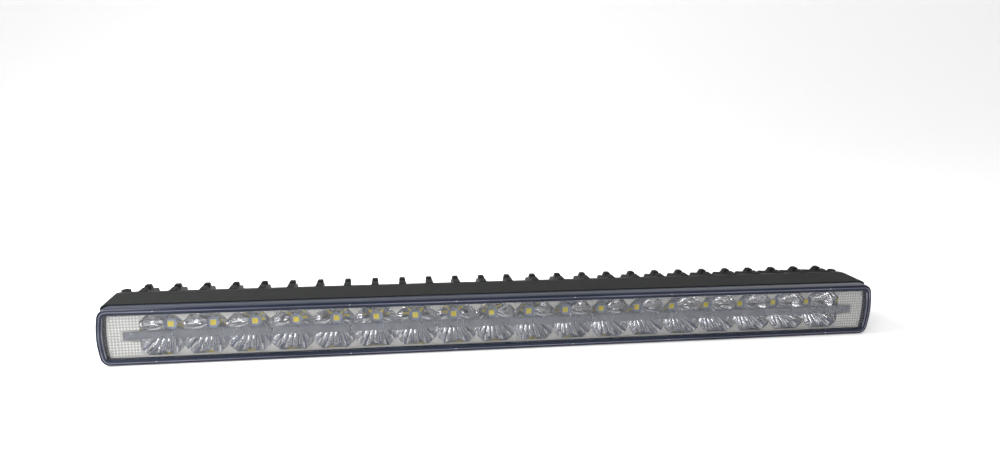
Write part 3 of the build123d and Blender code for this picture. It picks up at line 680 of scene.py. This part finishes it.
def add_bezel_end(mesh_data):
    """Plain end of the bezel beyond the last cell, with the slot for the light strip."""
    rises = [-bezel_height_mm] + end_step_rises + [-slot_half_height]
    rises += [0.0] + [-rise for rise in reversed(rises)]
    for low, high in zip(rises, rises[1:]):
        inner = slot_end_x if high <= slot_half_height and low >= -slot_half_height else cell_end_x
        quad(mesh_data, [
            (inner, low, 0), (bezel_end_x(low), low, 0), (bezel_end_x(high), high, 0), (inner, high, 0),
        ])
        outer_low, outer_high = bezel_end_x(low), bezel_end_x(high)
        quad(mesh_data, [
            (outer_low, low, 0), (outer_low, low, bezel_lip_depth),
            (outer_high, high, bezel_lip_depth), (outer_high, high, 0),
        ])
    top, floor = slot_half_height, slot_floor_depth
    quad(mesh_data, [(cell_end_x, -top, floor), (slot_end_x, -top, floor), (slot_end_x, top, floor),
                     (cell_end_x, top, floor)])
    quad(mesh_data, [(slot_end_x, -top, 0), (slot_end_x, -top, floor), (slot_end_x, top, floor),
                     (slot_end_x, top, 0)])
    for rise in (-top, top):
        quad(mesh_data, [(cell_end_x, rise, 0), (slot_end_x, rise, 0), (slot_end_x, rise, floor),
                         (cell_end_x, rise, floor)])


def edges_on_plane(cell, axis, limit):
    """Open edges of a cell that lie on one of the planes it was cut at."""
    return [
        e for e in cell.edges
        if e.is_boundary and all(abs(v.co[axis] - limit) < near for v in e.verts)
    ]


def carry_forward(cell, edges):
    """Flat strip from cut edges forward to the bezel's plane."""
    made = bmesh.ops.extrude_edge_only(cell, edges=edges)
    for item in made["geom"]:
        if isinstance(item, bmesh.types.BMVert):
            item.co.z = 0.0


def add_bezel_bands(cell):
    """Bezel above and below the cell's mouth."""
    edges = [
        e for e in edges_on_plane(cell, 2, 0.0)
        if abs(e.verts[0].co.x - e.verts[1].co.x) > weld_reach
    ]
    made = bmesh.ops.extrude_edge_only(cell, edges=edges)
    for item in made["geom"]:
        if isinstance(item, bmesh.types.BMVert):
            item.co.y = math.copysign(bezel_height_mm, item.co.y)
        if isinstance(item, bmesh.types.BMFace):
            item.material_index = bezel_slot


def clipped_cell(x):
    """The cell at x, cut to its own window and joined to the bezel's plane."""
    cell = bmesh.new()
    cell.from_mesh(cell_data)
    half = led_pitch / MM / 2
    inner = max(-half, seam_x - x)
    outer = min(half, cell_end_x - x)
    clip(cell, (outer, 0, 0), (1, 0, 0))
    clip(cell, (inner, 0, 0), (-1, 0, 0))
    clip(cell, (0, cell_half_height, 0), (0, 1, 0))
    clip(cell, (0, -cell_half_height, 0), (0, -1, 0))
    bmesh.ops.remove_doubles(cell, verts=cell.verts, dist=weld_reach)
    for limit in (cell_half_height, -cell_half_height):
        edges = edges_on_plane(cell, 1, limit)
        carry_forward(cell, [e for e in edges if max(v.co.z for v in e.verts) > near])
    if outer < half:
        carry_forward(cell, edges_on_plane(cell, 0, outer))
    bmesh.ops.remove_doubles(cell, verts=cell.verts, dist=weld_reach)
    add_bezel_bands(cell)
    bmesh.ops.translate(cell, verts=cell.verts, vec=(x, 0, 0))
    return cell


def add_bezel_lips(mesh_data):
    """The bezel's long edges turn back."""
    for rise in (-bezel_height_mm, bezel_height_mm):
        end_x = bezel_end_x(rise)
        quad(mesh_data, [
            (seam_x, rise, 0), (end_x, rise, 0), (end_x, rise, bezel_lip_depth),
            (seam_x, rise, bezel_lip_depth),
        ])


def add_dots(mesh_data):
    """Rows of pips on the bezel's end, clear of its edge and of the slot."""
    count = int((bezel_length_mm - cell_end_x) / dot_pitch) + 1
    columns = [cell_end_x + dot_margin + i * dot_pitch for i in range(count)]
    rows = [(i + 0.5) * dot_pitch for i in range(int(bezel_height_mm / dot_pitch))]
    for x in columns:
        for rise in [sign * row for row in rows for sign in (1, -1)]:
            in_slot = abs(rise) < slot_half_height + dot_radius and x < slot_end_x + dot_radius
            if x < bezel_end_x(rise) - dot_margin and not in_slot:
                add_dot(mesh_data, x, rise)


def make_reflector(hand, side):
    """One module, built on the right and turned over for the left."""
    mesh_data = bmesh.new()
    for x in [side * led_x / MM for led_x in led_xs]:
        if x > 0:
            cell = clipped_cell(x)
            cell_part = bpy.data.meshes.new("cell_part")
            cell.to_mesh(cell_part)
            cell.free()
            mesh_data.from_mesh(cell_part)
            bpy.data.meshes.remove(cell_part)
    add_bezel_lips(mesh_data)
    add_bezel_end(mesh_data)
    bmesh.ops.remove_doubles(mesh_data, verts=mesh_data.verts, dist=near)
    add_dots(mesh_data)
    for v in mesh_data.verts:
        x, rise, depth = v.co
        v.co = at(side * x * MM, depth * MM, rise * MM)
    return make_piece(
        f"reflector_{hand}_faceted", mesh_data,
        [finishes["metallised_plastic"], bezel_material, dot_highlight_material, top_facet_reflection_material],
        [f"reflector_{hand}"], smooth_angle=12,
    )


make_reflector("left", -1)
make_reflector("right", 1)

# ----------------------------------------------------------------------------
# Position-light guide: strip with fine upright flutes.
# ----------------------------------------------------------------------------
flute_pitch = 1.05 * MM
flute_height = 0.28 * MM
flute_steps = 4
strip_back = 2.4 * MM
strip_edge = 0.25 * MM


def make_light_guide():
    """The strip: its fluted front, flat sides and flat back."""
    mesh_data = bmesh.new()
    half_length = strip_hi.x
    half_rise = (strip_hi.z - strip_lo.z) / 2
    front = strip_lo.y - bezel_y
    count = int(2 * half_length / flute_pitch)
    step = 2 * half_length / count / flute_steps
    xs = [-half_length + step * i for i in range(count * flute_steps + 1)]
    phases = [(i % flute_steps) / flute_steps for i in range(len(xs))]
    fluted = [front + flute_height * (1 - math.sin(math.pi * phase)) for phase in phases]
    side = [front + flute_height + strip_edge] * len(xs)
    back = [strip_back] * len(xs)
    section = [
        (-half_rise, back), (-half_rise, side), (-half_rise + strip_edge, fluted),
        (half_rise - strip_edge, fluted), (half_rise, side), (half_rise, back),
    ]
    rows = [[at(x, depth, rise) for x, depth in zip(xs, depths)] for rise, depths in section]
    made = add_grid(mesh_data, rows)
    top, bottom = made[-1], made[0]
    for c in range(len(xs) - 1):
        mesh_data.faces.new((top[c], top[c + 1], bottom[c + 1], bottom[c]))
    for end in (0, -1):
        mesh_data.faces.new([row[end] for row in made])
    return make_piece(
        "light_guide_fluted", mesh_data, [finishes["frosted_light_guide"]],
        ["position_light_guide"], smooth_angle=50,
    )


make_light_guide()


# ----------------------------------------------------------------------------
# LED phosphor tiles: low pillows with rounded corners.
# ----------------------------------------------------------------------------
tile_corner = 0.35 * MM
tile_corner_steps = 3
tile_margin = 0.15 * MM
tile_half = (led_boxes[0][1].x - led_boxes[0][0].x) / 2 - tile_margin

# Levels of a tile from its back to its front: (inset, depth) in mm.
tile_levels = [(0.0, 0.15), (0.0, 0.06), (0.12, 0.0)]
# The way to each rounded corner of a tile, anticlockwise from the first quarter.
tile_corners = [(1, 1), (-1, 1), (-1, -1), (1, -1)]


def tile_loop(led_x, inset, depth):
    """Loop of a tile's outline at a depth."""
    reach = tile_half - tile_corner
    radius = tile_corner - inset * MM
    loop = []
    for quarter, (side_x, side_z) in enumerate(tile_corners):
        for i in range(tile_corner_steps + 1):
            angle = math.pi / 2 * (quarter + i / tile_corner_steps)
            loop.append(at(
                led_x + side_x * reach + radius * math.cos(angle),
                led_depth + depth * MM,
                side_z * reach + radius * math.sin(angle),
            ))
    return loop


def make_phosphors():
    """All the tiles in one piece."""
    mesh_data = bmesh.new()
    for led_x in led_xs:
        rings = skin_loops(mesh_data, [tile_loop(led_x, inset, depth) for inset, depth in tile_levels])
        mesh_data.faces.new(rings[-1])
        mesh_data.faces.new(list(reversed(rings[0])))
    return make_piece(
        "phosphor_tiles", mesh_data, [finishes["yellow_phosphor"]],
        ["led_phosphors"], smooth_angle=35,
    )


make_phosphors()


# ----------------------------------------------------------------------------
# Studio: pale floor and sweep, soft lamps and surroundings, camera.
# ----------------------------------------------------------------------------
# Floor and sweep, in metres.
floor_half_width = 4.0
floor_near_y = -3.0
floor_far_y = 1.6
sweep_height = 2.4
sweep_bend = 0.8
sweep_steps = 12
floor_glow = 0.22

# Lamps: name, place, target, width and height in metres, power in watts.
lamps = [
    ("key_top_left", (-0.60, 0.05, 0.55), (-0.25, 0, 0), 0.5, 0.4, 9.0),
    ("front_left", (-0.75, -0.9, 0.5), (-0.15, 0, 0), 0.5, 0.4, 8.0),
    ("front_right", (0.9, -1.2, 0.9), (0, 0, 0), 0.4, 0.5, 0.6),
]

# Surroundings: tones from the horizon up to straight above.
sky_tones = [
    (0.0, (0.45, 0.45, 0.46)), (0.12, (0.22, 0.22, 0.23)), (0.45, (0.55, 0.55, 0.55)),
    (0.8, (0.8, 0.8, 0.8)),
]

# Camera: sensor and lens in millimetres, place and range in metres, turn in degrees.
sensor_width = 36.0
camera_lens = 26.27
camera_place = (-82.27 * MM, -463.53 * MM, 179.30 * MM)
camera_turn = (77.375, -1.076, -9.097)
nearest_seen = 0.01
farthest_seen = 100.0


def make_floor():
    """Floor and sweep in one sheet, a little bright by itself so that it stays pale."""
    material, tree, shader = new_material("studio_floor")
    set_values(shader, Base_Color=(0.9, 0.9, 0.9, 1.0), Roughness=0.9, IOR=1.2)
    set_values(shader, Emission_Color=(1.0, 1.0, 1.0, 1.0), Emission_Strength=floor_glow)
    mesh_data = bmesh.new()
    bend_y = floor_far_y - sweep_bend
    profile = [(floor_near_y, 0.0), (bend_y, 0.0)]
    for i in range(1, sweep_steps + 1):
        angle = math.pi / 2 * i / sweep_steps
        profile.append((bend_y + sweep_bend * math.sin(angle), sweep_bend * (1 - math.cos(angle))))
    profile.append((floor_far_y, sweep_height))
    rows = [[(x, y, z) for x in (-floor_half_width, floor_half_width)] for y, z in profile]
    add_grid(mesh_data, rows)
    mesh = bpy.data.meshes.new("studio_floor")
    mesh_data.to_mesh(mesh)
    mesh_data.free()
    mesh.materials.append(material)
    mesh.shade_smooth()
    floor = bpy.data.objects.new("studio_floor", mesh)
    scene.collection.objects.link(floor)


def add_lamp(name, place, target, width, height, power):
    """Soft rectangular lamp that points at its target."""
    lamp = bpy.data.lights.new(name, "AREA")
    lamp.shape = "RECTANGLE"
    lamp.size = width
    lamp.size_y = height
    lamp.energy = power
    rig = bpy.data.objects.new(name, lamp)
    scene.collection.objects.link(rig)
    rig.location = place
    rig.rotation_euler = (Vector(target) - Vector(place)).to_track_quat("-Z", "Y").to_euler()


def make_world():
    """Surroundings that get darker just above the horizon and brighter overhead."""
    world = bpy.data.worlds.new("studio")
    scene.world = world
    world.use_nodes = True
    tree = world.node_tree
    background = tree.nodes["Background"]
    place = tree.nodes.new("ShaderNodeTexCoord")
    split = tree.nodes.new("ShaderNodeSeparateXYZ")
    tree.links.new(place.outputs["Generated"], split.inputs["Vector"])
    tree.links.new(ramp(tree, split.outputs["Z"], *sky_tones), background.inputs["Color"])


def make_camera():
    """Camera at the angle and distance of the front three-quarter view from above."""
    data = bpy.data.cameras.new("camera")
    data.sensor_width = sensor_width
    data.lens = camera_lens
    data.clip_start = nearest_seen
    data.clip_end = farthest_seen
    camera = bpy.data.objects.new("camera", data)
    scene.collection.objects.link(camera)
    camera.location = camera_place
    camera.rotation_euler = Euler([math.radians(a) for a in camera_turn], "XYZ")
    scene.camera = camera


make_floor()
make_world()
for lamp_values in lamps:
    add_lamp(*lamp_values)
make_camera()
scene.view_settings.view_transform = "Standard"
scene.view_settings.look = "None"
